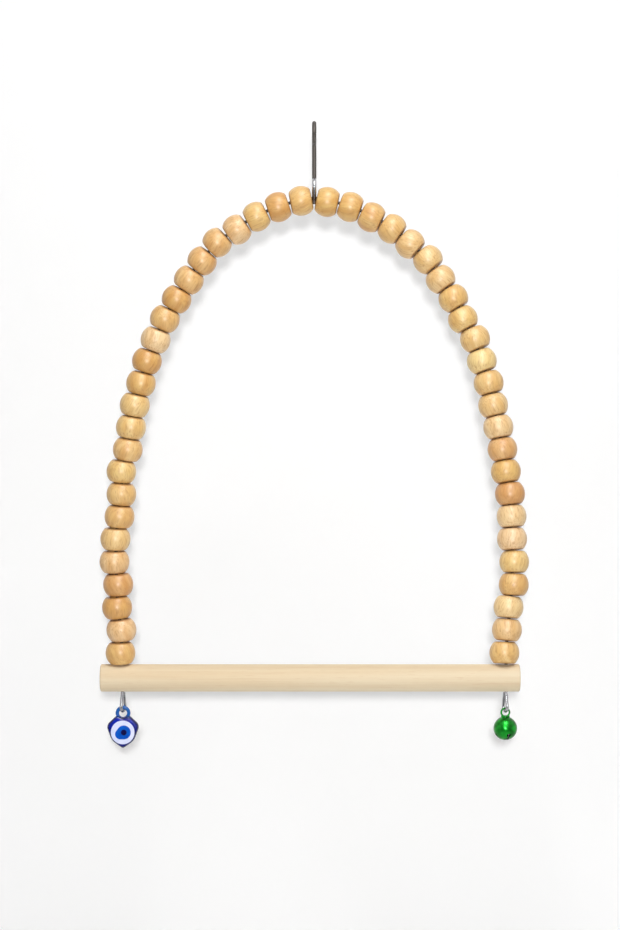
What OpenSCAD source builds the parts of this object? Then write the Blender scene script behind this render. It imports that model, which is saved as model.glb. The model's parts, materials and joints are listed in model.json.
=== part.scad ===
// Hanging perch swing: a round wooden perch hung in an arch of turned wooden beads.
// One stiff wire carries the beads, passes through the perch near each end and is
// bent into a narrow loop below it. A glass heart charm hangs in the left loop, a
// jingle bell in the right one, and a steel hook holds the peak of the arch.
// The origin is the seat of the hook, where the bar that it hangs on bears.
// +X is to the right, -Y is the front and +Z is up. Sizes are in millimetres.

/* [Beads] */
// Diameter of a bead across its bore
bead_d = 13.2; // [12:0.1:15]
// Length of a bead along its bore
bead_len = 9.6; // [8:0.1:10]
// Diameter of the bore
bead_bore_d = 4.2; // [3.8:0.1:5]
// Radius of the softened rim between the barrel and the end face
bead_rim_r = 1.6; // [0.4:0.1:2]
// Most that one bead's diameter differs from the nominal one
bead_spread = 0.2; // [0:0.05:0.4]
// Most that a bead tips on the wire, in degrees
bead_tip = 0.5; // [0:0.25:2]
// Turn of the beads to the front on their loose bores, in degrees
bead_yaw = 6; // [0:1:6]
// Least gap between the end faces of neighbouring beads
bead_gap = 0.1; // [0.1:0.05:0.5]
// Room kept between the wire and the wall of a bore at the bead's middle
bore_room = 0.55; // [0.4:0.05:0.8]
// Number that picks how the loose beads happen to lie
bead_seed = 11; // [1:1:99]

/* [Arch] */
// Bend of the wire at the hook, each side of the peak, in degrees
peak_turn = 8; // [5:1:10]
// Beads on each side of the crown
crown_beads = 6; // [4:1:6]
// Bend of the wire along that crown, in degrees
crown_turn = 46; // [38:1:54]
// Beads on each shoulder
shoulder_beads = 6; // [4:1:6]
// Bend along the shoulder, in degrees
shoulder_turn = 23; // [16:1:32]
// Beads on each flank
flank_beads = 6; // [4:1:6]
// Bend along the flank, in degrees
flank_turn = 9; // [2:1:14]
// Beads on each leg, where the arch draws in
leg_beads = 4; // [3:1:5]
// Bend along the leg, in degrees
leg_turn = 11; // [6:1:18]
// Beads on each foot, where the wire comes upright again
foot_beads = 2; // [2:1:3]

/* [Wire] */
// Diameter of the arch wire
wire_d = 1.4; // [1:0.1:1.6]
// Height from the perch's underside down to the lowest point of an end loop
loop_drop = 9.4; // [8:0.2:14]
// Inner radius of the loop's round bottom
loop_in_r = 1.3; // [1.2:0.1:2]
// Radius of the bend where the wire opens into the loop
loop_bend_r = 1.5; // [1:0.1:2.5]
// Straight wire between the perch and that bend
loop_neck = 0.4; // [0.3:0.1:1]
// Gap between the loop's tucked-in end and the strand beside it
loop_end_gap = 0.15; // [0.1:0.05:0.4]
// Turn of the loops away from facing square to the side, in degrees
loop_twist = 20; // [0:1:30]

/* [Perch] */
// Diameter of the perch
perch_d = 12; // [9:0.5:20]
// Mean length of perch outside each wire
perch_overhang = 7.7; // [6:0.1:20]
// How far the perch sits to the left of the arch's middle
perch_shift = 1.8; // [0:0.1:3]
// Bevel round the perch's cut ends
perch_bevel = 0.4; // [0.2:0.1:1]
// Clearance all round the wire in the perch
perch_clear = 0.15; // [0.1:0.05:0.3]

/* [Hook] */
// Diameter of the hook's wire
hook_d = 1.9; // [1.2:0.1:2]
// Clearance of the hook's eye to the arch wire and the beads
hook_clear = 0.2; // [0.15:0.05:0.3]
// Radius of the eye's wide upper part, at the middle of its wire
eye_r = 3; // [2.6:0.1:4]
// Height of that part's centre above the arch wire
eye_h = 5; // [4.5:0.1:7]
// Radius of the bend between the eye and the shank
eye_bend_r = 1.6; // [1.2:0.1:2.5]
// Length of the straight shank
shank_len = 12; // [6:0.5:40]
// Inner radius of the round hook at the top
hook_in_r = 4; // [3:0.25:10]
// Radius of the bend between the shank and the round hook
hook_bend_r = 2; // [1.5:0.1:4]
// How far the round hook turns round the bar that it hangs on, in degrees
hook_wrap = 255; // [200:5:270]

/* [Charm] */
// Radius of the charm's eyelet, at the middle of its bar
eyelet_r = 2.5; // [2.3:0.1:3.5]
// Thickness of the eyelet's bar
eyelet_bar_d = 1.6; // [1.2:0.1:1.8]
// Thickness of the heart
heart_t = 4; // [3:0.2:6]
// Radius of the heart's sloping shoulder beside the eyelet
neck_r = 1.3; // [0.8:0.1:1.5]
// Distance of that shoulder's centre from the middle
neck_x = 2.5; // [2.3:0.1:2.8]
// Depth of the shoulder's centre below the eyelet's centre
neck_drop = 2.5; // [2.4:0.1:3]
// Radius of a lobe of the heart
lobe_r = 3; // [2.6:0.1:3.6]
// Distance of a lobe's centre from the middle
lobe_x = 3.9; // [3.4:0.1:4.4]
// Depth of the lobes' centres below the eyelet's centre
lobe_drop = 6.1; // [5.6:0.1:7]
// Radius of the heart's belly round the white of the eye
belly_r = 5.9; // [5.7:0.1:7]
// Depth of the belly's centre below the eyelet's centre
belly_drop = 8.3; // [7.5:0.1:9.5]
// Radius of the heart's blunt point
point_r = 1; // [0.6:0.1:1.6]
// Depth of the heart's point below the eyelet's centre
heart_drop = 14.9; // [14.5:0.1:17]
// Radius of the heart's rounded edge
heart_edge_r = 1.3; // [0.8:0.1:1.4]
// Diameter of the white of the eye
white_d = 10.4; // [8:0.1:10.8]
// Diameter of the iris
iris_d = 6; // [4:0.1:6.4]
// Distance of iris and pupil to the right of the white's middle
iris_x = 0.5; // [0.2:0.1:0.8]
// Diameter of the iris's blunt corner
corner_d = 4.4; // [2.4:0.1:4.6]
// Distance of that corner to the left of the white's middle
corner_x = 1.1; // [1:0.1:2.4]
// Depth of the corner below the white's middle
corner_drop = 0.8; // [0.4:0.1:1.2]
// Diameter of the pupil
pupil_d = 2.4; // [1.5:0.1:3]
// Depth to which each layer of glass is let into the one behind it
layer_depth = 0.5; // [0.3:0.1:0.8]
// Height by which each layer stands proud
layer_proud = 0.15; // [0.1:0.05:0.4]

/* [Bell] */
// Diameter of the bell
bell_d = 10.4; // [9:0.2:16]
// Wall of the bell
bell_wall = 0.5; // [0.4:0.1:0.8]
// Width of the crossed slots in its underside
slot_w = 1; // [0.6:0.1:1.4]
// Diameter of the round hole at each end of a slot
slot_end_d = 1.8; // [1.4:0.1:2.4]
// Height of those holes, as an angle up from the lowest point, in degrees
slot_reach = 58; // [40:1:70]
// Turn of the slots about the bell's upright axis, in degrees
slot_turn = 16; // [0:1:45]
// Radius of the ear's ring, at the middle of its wire
ear_r = 1.8; // [1.8:0.1:2.6]
// Diameter of the ear's wire
ear_wire_d = 0.8; // [0.6:0.1:1.1]
// Diameter of the collar that the ear stands on
collar_d = 3.8; // [3:0.1:5]
// Height of the collar's rim above the bell's crown
collar_h = 0.4; // [0.3:0.1:1]
// Diameter of the tenon through the bell's crown
tenon_d = 1.6; // [1.2:0.1:2]
// Diameter of the loose ball inside
clapper_d = 3.4; // [2.6:0.1:4]

/* [Hidden] */
$fn = 48;

// Clearance between pieces that hang in or lie on each other
hang_clear = 0.15;
// Room round a piece that is let in or staked
fit_clear = 0.05;
// Overlap of cutting shapes past the face that they cut
cut = 0.5;
// Most that the flats of a bent wire stand off its true curve
wire_chord = 0.02;
// Flats round a wire
wire_sides = 12;
// Flats along the heart's rounded edge, per quarter turn, and round its rounds
edge_parts = 5;
heart_sides = 32;
// Steps along half of a bead's barrel and along its rim
barrel_parts = 9;
rim_parts = 4;

// Bead: the rim's arc touches the barrel's arc and the flat end face
bead_r = bead_d / 2;
bore_r = bead_bore_d / 2;
half_len = bead_len / 2;
function rim_centre(r) = sqrt(pow(r - bead_rim_r, 2) - pow(half_len - bead_rim_r, 2));
face_r = rim_centre(bead_r + bead_spread / 2);

// Hook's eye: a small arc round the arch wire, wider above
eye_seat_r = wire_d / 2 + hook_clear + hook_d / 2;
eye_taper = asin((eye_r - eye_seat_r) / eye_h);
eye_side = sqrt(pow(eye_h, 2) - pow(eye_r - eye_seat_r, 2));
eye_top = eye_h + sqrt(pow(eye_r, 2) + 2 * eye_bend_r * eye_r);
eye_lean = atan2(eye_top - eye_h, eye_bend_r);
eye_end = asin((hook_d + loop_end_gap) / eye_r);

// Mouth of a bore: eased at 45 degrees, wide enough for the eye's small arc
mouth_r = max(bore_r + fit_clear, eye_seat_r + hook_d / 2 + fit_clear);
mouth_depth = mouth_r - bore_r;

// Hook: the round part sits straight above the shank
hook_r = hook_in_r + hook_d / 2;
hook_rise = sqrt(pow(hook_r, 2) + 2 * hook_bend_r * hook_r);
hook_lean = atan2(hook_rise, hook_bend_r);
seat_h = eye_top + shank_len + hook_rise + hook_in_r;

// Runs of the arch, from the peak down one side: [beads, bend in degrees]
foot_turn = 90 - peak_turn - crown_turn - shoulder_turn - flank_turn - leg_turn;
runs = [
  [crown_beads, crown_turn],
  [shoulder_beads, shoulder_turn],
  [flank_beads, flank_turn],
  [leg_beads, leg_turn],
  [foot_beads, foot_turn]
];

// Spacing of beads whose axes meet at an angle, so that their end faces stay clear
bead_play = (bead_bore_d - wire_d) / 2 - bore_room;
function pitch(angle) =
  bead_len + bead_gap + 2 * (face_r + bead_play) * tan(abs(angle) / 2 + bead_tip);
function run_pitch(i) = pitch(runs[i][1] / runs[i][0]);
peak_gap = pitch(2 * peak_turn + crown_turn / crown_beads);
hook_gap = bead_len + hook_d + 2 * hook_clear;
peak_len = (max(peak_gap, hook_gap) - run_pitch(0)) / 2;

// One side of the wire as steps of a bending plan: [length, bend, roll before the bend]
arch_steps = concat(
  [[peak_len, peak_turn, 0]],
  [for (i = [0 : len(runs) - 1]) [runs[i][0] * run_pitch(i), runs[i][1], 0]]
);

// Place on the arch at a length along the wire from the peak: [x, z, slope in degrees]
function bend_x(l, t) = t == 0 ? l : l * sin(t) / (t * PI / 180);
function bend_z(l, t) = t == 0 ? 0 : -l * (1 - cos(t)) / (t * PI / 180);
function along(from, l, t) = [
  from[0] + bend_x(l, t) * cos(from[2]) + bend_z(l, t) * sin(from[2]),
  from[1] - bend_x(l, t) * sin(from[2]) + bend_z(l, t) * cos(from[2]),
  from[2] + t
];
function place_at(s, i = 0, from = [0, 0, 0]) =
  let (l = arch_steps[i][0], t = arch_steps[i][1])
    s <= l || i == len(arch_steps) - 1
      ? along(from, s, t * s / l)
      : place_at(s - l, i + 1, along(from, l, t));
function length_before(i) = i == 0 ? 0 : arch_steps[i - 1][0] + length_before(i - 1);

// Beads in order from the left foot over the crown to the right foot
bead_s = [
  for (i = [0 : len(runs) - 1], k = [0 : runs[i][0] - 1])
    length_before(i + 1) + (k + 0.5) * run_pitch(i)
];
side_beads = len(bead_s);
bead_count = 2 * side_beads;
function bead_side(i) = i <= side_beads ? -1 : 1;
function bead_rank(i) = i <= side_beads ? side_beads - i : i - side_beads - 1;
function bead_name(i) = str("bead_", i < 10 ? "0" : "", i);

// How each loose bead lies: at the crown it hangs on the wire, on the legs it leans either way
lean_chance = rands(-1, 1, bead_count, bead_seed);
tip_chance = rands(-1, 1, bead_count, bead_seed + 100);
size_chance = rands(-0.5, 0.5, bead_count, bead_seed + 200);
tone_chance = rands(0, 1, bead_count, bead_seed + 300);
hang_share = 0.6;
// Slope of the wire from which beads are turned fully; beside the hook they lie nearly square
turned_slope = 40;
function bead_hang(slope) = hang_share * pow(cos(slope), 2);
function bead_turn(slope) = bead_yaw * pow(min(1, slope / turned_slope), 2);
function bead_lean(i, slope) =
  bead_play * (bead_hang(slope) + (1 - bead_hang(slope)) * lean_chance[i - 1]);

// Perch, right under the last beads
arch_foot = place_at(length_before(len(arch_steps)));
leg_x = arch_foot[0];
perch_top = arch_foot[1] - seat_h;
perch_z = perch_top - perch_d / 2;
perch_under = perch_top - perch_d;
perch_len = 2 * (leg_x + perch_overhang);

// End loop: two strands side by side at the top, spread onto a round bottom
loop_r = loop_in_r + wire_d / 2;
loop_half = (wire_d + loop_end_gap) / 2;
loop_depth = loop_drop - wire_d / 2 - loop_r - loop_neck;
loop_spread =
  asin((loop_r + loop_bend_r) / norm([loop_half + loop_bend_r, loop_depth]))
  - atan2(loop_half + loop_bend_r, loop_depth);
loop_side = sqrt(
  pow(loop_half + loop_bend_r, 2) + pow(loop_depth, 2) - pow(loop_r + loop_bend_r, 2)
);
function arc_len(r, angle) = r * angle * PI / 180;
loop_steps = [
  [perch_d + loop_neck, 0, 0],
  [arc_len(loop_bend_r, loop_spread), loop_spread, -90 - loop_twist],
  [loop_side, 0, 0],
  [arc_len(loop_r, 180 + 2 * loop_spread), -180 - 2 * loop_spread, 0],
  [loop_side, 0, 0],
  [arc_len(loop_bend_r, loop_spread), loop_spread, 0]
];

// Where a pendant hangs: the middle of the wire at the lowest point of an end loop
hang_x = leg_x - loop_half * sin(loop_twist);
hang_y = loop_half * cos(loop_twist);
hang_z = perch_under - loop_drop + wire_d / 2;
charm_z = hang_z + wire_d / 2 + hang_clear + eyelet_bar_d / 2 - eyelet_r;
ear_z = hang_z + wire_d / 2 + hang_clear + ear_wire_d / 2 - ear_r;

// Bell: the ear's ring stands with its lowest wire in the collar
bell_r = bell_d / 2;
bell_in_r = bell_r - bell_wall;
collar_top = bell_r + collar_h;
bell_z = ear_z - ear_r - collar_top + ear_wire_d / 2;
tenon_head_d = tenon_d + 2 * ear_wire_d;
tenon_head_t = bell_wall;
collar_seat = sqrt(pow(bell_r, 2) - pow(collar_d / 2, 2));
tenon_seat = sqrt(pow(bell_in_r, 2) - pow(tenon_head_d / 2, 2));
clapper_z = bell_z - bell_in_r + clapper_d / 2 + hang_clear;

steel = [0.62, 0.62, 0.64];
glass_blue = [0.07, 0.1, 0.55];
bell_green = [0.05, 0.6, 0.15];
bead_pale = [0.89, 0.76, 0.58];
bead_dark = [0.78, 0.59, 0.36];

// Path of a bent wire as frames: [place, forward, normal, bend axis, roll so far]
function rolled(f, roll) = [
  f[0], f[1], f[2] * cos(roll) - f[3] * sin(roll), f[3] * cos(roll) + f[2] * sin(roll), f[4] + roll
];
function bent(f, l, t) = [
  f[0] + bend_x(l, t) * f[1] + bend_z(l, t) * f[2],
  f[1] * cos(t) - f[2] * sin(t), f[2] * cos(t) + f[1] * sin(t), f[3], f[4]
];
function bend_parts(l, t) =
  t == 0 ? 1 : ceil(abs(t) / (2 * acos(1 - wire_chord * abs(t) * PI / 180 / l)));
function wire_path(steps, f, i = 0) =
  i == len(steps) ? [f] :
  let (l = steps[i][0], t = steps[i][1], from = rolled(f, steps[i][2]), n = bend_parts(l, t))
    concat(
      [for (k = [0 : n - 1]) bent(from, l * k / n, t * k / n)],
      wire_path(steps, bent(from, l, t), i + 1)
    );

// Ring of points round the wire at one frame, free of the plan's rolls
function wire_ring(f, d) = [
  for (k = [0 : wire_sides - 1])
    let (a = 360 * k / wire_sides - f[4]) f[0] + d / 2 * (cos(a) * f[3] + sin(a) * f[2])
];

// A wire swept through its rings as one closed solid
module swept_wire(rings) {
  last = (len(rings) - 1) * wire_sides;
  polyhedron(
    points = [for (ring = rings) each ring],
    faces = concat(
      [[for (k = [0 : wire_sides - 1]) k], [for (k = [0 : wire_sides - 1]) last + wire_sides - 1 - k]],
      [
        for (i = [0 : wire_sides : last - 1], k = [0 : wire_sides - 1])
          let (a = i + k, b = i + (k + 1) % wire_sides)
            each [[a, a + wire_sides, b + wire_sides], [a, b + wire_sides, b]]
      ]
    )
  );
}

// Half profile of a bead: barrel arc, softened rims, flat ends, eased bore
module bead_profile(r) {
  rim_x = rim_centre(r);
  rim_z = half_len - bead_rim_r;
  rim_a = atan2(rim_z, rim_x);
  upper = concat(
    [for (k = [1 : barrel_parts]) let (a = rim_a * k / barrel_parts) r * [cos(a), sin(a)]],
    [
      for (k = [1 : rim_parts])
        let (a = rim_a + (90 - rim_a) * k / rim_parts) [rim_x, rim_z] + bead_rim_r * [cos(a), sin(a)]
    ],
    [[mouth_r, half_len], [bore_r, half_len - mouth_depth]]
  );
  lower = [for (i = [len(upper) - 1 : -1 : 0]) [upper[i][0], -upper[i][1]]];
  polygon(concat([[r, 0]], upper, lower));
}

module bead(i) {
  place = place_at(bead_s[bead_rank(i)]);
  lean = bead_lean(i, place[2]);
  tone = tone_chance[i - 1];
  color(bead_pale + (bead_dark - bead_pale) * tone)
    translate([
      bead_side(i) * (place[0] - lean * sin(place[2])), 0, place[1] - lean * cos(place[2]) - seat_h
    ])
      rotate([bead_turn(place[2]), 90 + bead_side(i) * place[2] + bead_tip * tip_chance[i - 1], 0])
        rotate_extrude() bead_profile(bead_r + bead_spread / 2 * size_chance[i - 1]);
}

module arch_wire() {
  peak = [[0, 0, -seat_h], [1, 0, 0], [0, 0, 1], [0, 1, 0], 0];
  right = [for (f = wire_path(concat(arch_steps, loop_steps), peak)) wire_ring(f, wire_d)];
  left = [for (i = [len(right) - 1 : -1 : 1]) [for (p = right[i]) [-p[0], p[1], p[2]]]];
  color(steel) swept_wire(concat(left, right));
}

module perch_dowel() {
  half = perch_len / 2;
  r = perch_d / 2;
  color([0.93, 0.83, 0.68])
    difference() {
      translate([-perch_shift, 0, perch_z])
        rotate([0, 90, 0])
          rotate_extrude()
            polygon([
              [0, -half], [r - perch_bevel, -half], [r, perch_bevel - half],
              [r, half - perch_bevel], [r - perch_bevel, half], [0, half]
            ]);
      for (side = [-1, 1])
        translate([side * leg_x, 0, perch_under - cut])
          cylinder(d = wire_d + 2 * perch_clear, h = perch_d + 2 * cut);
    }
}

// The eye starts at its free end, goes round the arch wire and up into the shank
module hanging_hook() {
  eye_start = [
    [0, eye_r * sin(eye_end), eye_h + eye_r * cos(eye_end) - seat_h],
    [0, cos(eye_end), -sin(eye_end)], [0, sin(eye_end), cos(eye_end)], [-1, 0, 0], 0
  ];
  steps = [
    [arc_len(eye_r, 90 + eye_taper - eye_end), 90 + eye_taper - eye_end, 0],
    [eye_side, 0, 0],
    [arc_len(eye_seat_r, 180 - 2 * eye_taper), 180 - 2 * eye_taper, 0],
    [eye_side, 0, 0],
    [arc_len(eye_r, eye_taper + eye_lean), eye_taper + eye_lean, 0],
    [arc_len(eye_bend_r, eye_lean), -eye_lean, 0],
    [shank_len, 0, 0],
    [arc_len(hook_bend_r, hook_lean), hook_lean, 0],
    [arc_len(hook_r, hook_wrap), -hook_wrap, 0]
  ];
  color(steel) swept_wire([for (f = wire_path(steps, eye_start)) wire_ring(f, hook_d)]);
}

// Round of glass that lies in the heart's plane and has a rounded edge
module heart_round(r) {
  edge = r - heart_edge_r;
  arc = [for (k = [0 : edge_parts]) 90 * k / edge_parts];
  rotate([90, 0, 0])
    rotate_extrude($fn = heart_sides)
      polygon(concat(
        [[0, 0]],
        [for (a = arc) [edge + heart_edge_r * sin(a), heart_edge_r * (1 - cos(a))]],
        [for (a = arc) [edge + heart_edge_r * cos(a), heart_t - heart_edge_r * (1 - sin(a))]],
        [[0, heart_t]]
      ));
}

// Pear outline of the iris, with its blunt corner down to the left
module iris_outline(room) {
  hull() {
    translate([iris_x, 0]) circle(d = iris_d + 2 * room);
    translate([-corner_x, -corner_drop]) circle(d = corner_d + 2 * room);
  }
}

module on_heart_face(depth) {
  translate([-hang_x, hang_y - heart_t / 2 + depth, charm_z - belly_drop]) rotate([90, 0, 0]) children();
}

white_back = layer_depth;
iris_back = layer_depth - layer_proud;
pupil_back = iris_back - layer_proud;
white_t = layer_depth + layer_proud;

module charm_heart() {
  color(glass_blue)
    difference() {
      translate([-hang_x, hang_y, charm_z]) {
        rotate([90, 0, 0]) rotate_extrude() translate([eyelet_r, 0]) circle(d = eyelet_bar_d);
        translate([0, heart_t / 2, 0])
          for (side = [-1, 1])
            hull() {
              translate([side * neck_x, 0, -neck_drop]) heart_round(max(neck_r, heart_edge_r));
              translate([side * lobe_x, 0, -lobe_drop]) heart_round(lobe_r);
              translate([0, 0, -belly_drop]) heart_round(belly_r);
              translate([0, 0, point_r - heart_drop]) heart_round(max(point_r, heart_edge_r));
            }
      }
      on_heart_face(layer_depth) cylinder(d = white_d + 2 * fit_clear, h = heart_t);
    }
}

module charm_eye_white() {
  color("white")
    difference() {
      on_heart_face(layer_depth) cylinder(d = white_d, h = white_t);
      on_heart_face(iris_back) linear_extrude(heart_t) iris_outline(fit_clear);
    }
}

module charm_eye_iris() {
  color([0, 0.35, 0.78])
    difference() {
      on_heart_face(iris_back) linear_extrude(white_t) iris_outline(0);
      on_heart_face(pupil_back) translate([iris_x, 0]) cylinder(d = pupil_d + 2 * fit_clear, h = heart_t);
    }
}

module charm_eye_pupil() {
  color([0.02, 0.01, 0.3])
    on_heart_face(pupil_back) translate([iris_x, 0]) cylinder(d = pupil_d, h = white_t);
}

module bell_shell() {
  color(bell_green)
    translate([hang_x, hang_y, bell_z])
      difference() {
        sphere(bell_r);
        sphere(bell_in_r);
        cylinder(d = tenon_d + 2 * fit_clear, h = bell_d);
        for (turn = [0, 90])
          rotate([0, 0, slot_turn + turn]) {
            slot_half = bell_r * sin(slot_reach);
            translate([-slot_half, -slot_w / 2, -bell_d])
              cube([2 * slot_half, slot_w, bell_d - bell_r * cos(slot_reach)]);
            for (side = [-1, 1])
              rotate([0, side * (180 - slot_reach), 0]) cylinder(d = slot_end_d, h = bell_d);
          }
      }
}

module bell_ear() {
  color(bell_green)
    translate([hang_x, hang_y, bell_z]) {
      difference() {
        union() {
          translate([0, 0, ear_z - bell_z])
            rotate([90, 0, 0]) rotate_extrude() translate([ear_r, 0]) circle(d = ear_wire_d);
          translate([0, 0, collar_seat]) cylinder(d = collar_d, h = collar_top - collar_seat);
        }
        sphere(bell_r + fit_clear);
      }
      translate([0, 0, tenon_seat - tenon_head_t])
        cylinder(d = tenon_d, h = collar_top - tenon_seat + tenon_head_t);
      intersection() {
        translate([0, 0, tenon_seat - tenon_head_t])
          cylinder(d = tenon_head_d, h = bell_in_r - tenon_seat + tenon_head_t);
        sphere(bell_in_r - fit_clear);
      }
    }
}

module bell_clapper() {
  color([0.7, 0.7, 0.72]) translate([hang_x, hang_y, clapper_z]) sphere(d = clapper_d);
}

hanging_hook();
arch_wire();
perch_dowel();
for (i = [1 : bead_count]) bead(i);
charm_heart();
charm_eye_white();
charm_eye_iris();
charm_eye_pupil();
bell_shell();
bell_ear();
bell_clapper();
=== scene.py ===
"""Looks of a hanging bird swing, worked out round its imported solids.

A round wooden perch hangs in an arch of loose turned beads. One stiff wire carries the beads,
a bent steel hook holds its peak, and a glass heart and a jingle bell hang in the loops below
the perch. Lengths are metres in the frame of the solids: +X right, -Y front and +Z up.
"""

import json
import logging
import math
from dataclasses import dataclass, field
from enum import Enum
from typing import Any

import bmesh
import bpy
import numpy as np
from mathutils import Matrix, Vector

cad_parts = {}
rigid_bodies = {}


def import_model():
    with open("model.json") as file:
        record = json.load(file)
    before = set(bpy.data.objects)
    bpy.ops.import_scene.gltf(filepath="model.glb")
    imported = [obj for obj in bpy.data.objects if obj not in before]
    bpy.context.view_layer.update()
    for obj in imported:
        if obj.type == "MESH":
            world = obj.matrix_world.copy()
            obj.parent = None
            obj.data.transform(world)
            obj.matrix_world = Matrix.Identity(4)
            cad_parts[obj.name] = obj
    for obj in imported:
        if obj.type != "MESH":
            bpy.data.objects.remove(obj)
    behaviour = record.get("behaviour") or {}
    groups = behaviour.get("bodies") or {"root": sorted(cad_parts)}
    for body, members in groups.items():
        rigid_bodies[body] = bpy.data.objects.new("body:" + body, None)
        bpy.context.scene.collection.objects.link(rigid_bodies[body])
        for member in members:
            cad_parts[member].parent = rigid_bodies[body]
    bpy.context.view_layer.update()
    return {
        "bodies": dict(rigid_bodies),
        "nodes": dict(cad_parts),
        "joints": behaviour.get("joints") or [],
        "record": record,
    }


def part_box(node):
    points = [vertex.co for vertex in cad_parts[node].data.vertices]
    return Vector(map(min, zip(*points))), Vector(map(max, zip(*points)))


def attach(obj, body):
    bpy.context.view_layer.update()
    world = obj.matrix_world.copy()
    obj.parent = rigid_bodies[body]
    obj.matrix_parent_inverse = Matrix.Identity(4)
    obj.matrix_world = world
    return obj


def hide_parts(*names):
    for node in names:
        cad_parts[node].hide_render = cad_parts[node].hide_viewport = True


LOG = logging.getLogger("swing")
MM = 0.001
WELD = 1e-7
SCREEN_TOP = 255
CURVE_KNEE = 0.04045
CURVE_SLOPE = 12.92
CURVE_OFFSET = 0.055
CURVE_POWER = 2.4
Colour = tuple[float, float, float]
Triple = tuple[float, float, float]
Pair = tuple[float, float]
Material = bpy.types.Material
WHITE: Colour = (1.0, 1.0, 1.0)


def paint(red: int, green: int, blue: int) -> Colour:
    """Turn a screen colour of 0 to 255 into the linear values that shaders use.

    Args:
        red: Red on screen.
        green: Green on screen.
        blue: Blue on screen.

    Returns:
        Linear red, green and blue.
    """
    values = np.array([red, green, blue]) / SCREEN_TOP
    curved = ((values + CURVE_OFFSET) / (1 + CURVE_OFFSET)) ** CURVE_POWER
    linear = np.where(values <= CURVE_KNEE, values / CURVE_SLOPE, curved)
    return tuple(float(v) for v in linear)


def opaque(colour: Colour) -> tuple[float, float, float, float]:
    """Add full alpha to a colour."""
    return (*colour, 1.0)


class Op(Enum):
    """Operations of a Math node."""

    ADD = "ADD"
    SUBTRACT = "SUBTRACT"
    MULTIPLY = "MULTIPLY"
    MAXIMUM = "MAXIMUM"


class Blend(Enum):
    """Ways to mix two colours."""

    MIX = "MIX"
    MULTIPLY = "MULTIPLY"


class LampUse(Enum):
    """What a lamp is for."""

    LIGHT = "light and reflections"
    CARD = "reflections only"


@dataclass(frozen=True)
class Noise:
    """A smooth noise: stretch along the axes, lumps per unit, octaves and weight of the finer ones."""

    stretch: Triple = (1.0, 1.0, 1.0)
    scale: float = 1.0
    detail: float = 2.0
    rough: float = 0.5


@dataclass(frozen=True)
class Relief:
    """Strength and height of a bump."""

    strength: float
    height: float


class Value:
    """A shader socket that adds Math nodes when it takes part in Python arithmetic."""

    def __init__(self, graph: "Graph", socket: bpy.types.NodeSocket) -> None:
        """Keep the socket and the graph that it belongs to."""
        self.graph = graph
        self.socket = socket

    def math(self, op: Op, first: "Value | float", second: "Value | float") -> "Value":
        """Add a Math node.

        Args:
            op: The node's operation.
            first: A value or number.
            second: A value or number.

        Returns:
            The node's result.
        """
        node = self.graph.node("ShaderNodeMath", {"operation": op.value}, {0: first, 1: second})
        return self.graph.out(node)

    def __add__(self, other: "Value | float") -> "Value":
        """Add."""
        return self.math(Op.ADD, self, other)

    def __radd__(self, other: float) -> "Value":
        """Add from the left."""
        return self.math(Op.ADD, other, self)

    def __sub__(self, other: "Value | float") -> "Value":
        """Subtract."""
        return self.math(Op.SUBTRACT, self, other)

    def __rsub__(self, other: float) -> "Value":
        """Subtract from the left."""
        return self.math(Op.SUBTRACT, other, self)

    def __mul__(self, other: "Value | float") -> "Value":
        """Multiply."""
        return self.math(Op.MULTIPLY, self, other)

    def __rmul__(self, other: float) -> "Value":
        """Multiply from the left."""
        return self.math(Op.MULTIPLY, other, self)

    def or_more(self, other: "Value") -> "Value":
        """Take the larger of two values."""
        return self.math(Op.MAXIMUM, self, other)

    def rise(self, span: Pair) -> "Value":
        """Go smoothly from 0 to 1.

        Args:
            span: Where the step starts and ends.

        Returns:
            The smooth step.
        """
        settings = {"interpolation_type": "SMOOTHSTEP"}
        sockets = {"Value": self, "From Min": span[0], "From Max": span[1]}
        return self.graph.out(self.graph.node("ShaderNodeMapRange", settings, sockets))


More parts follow.
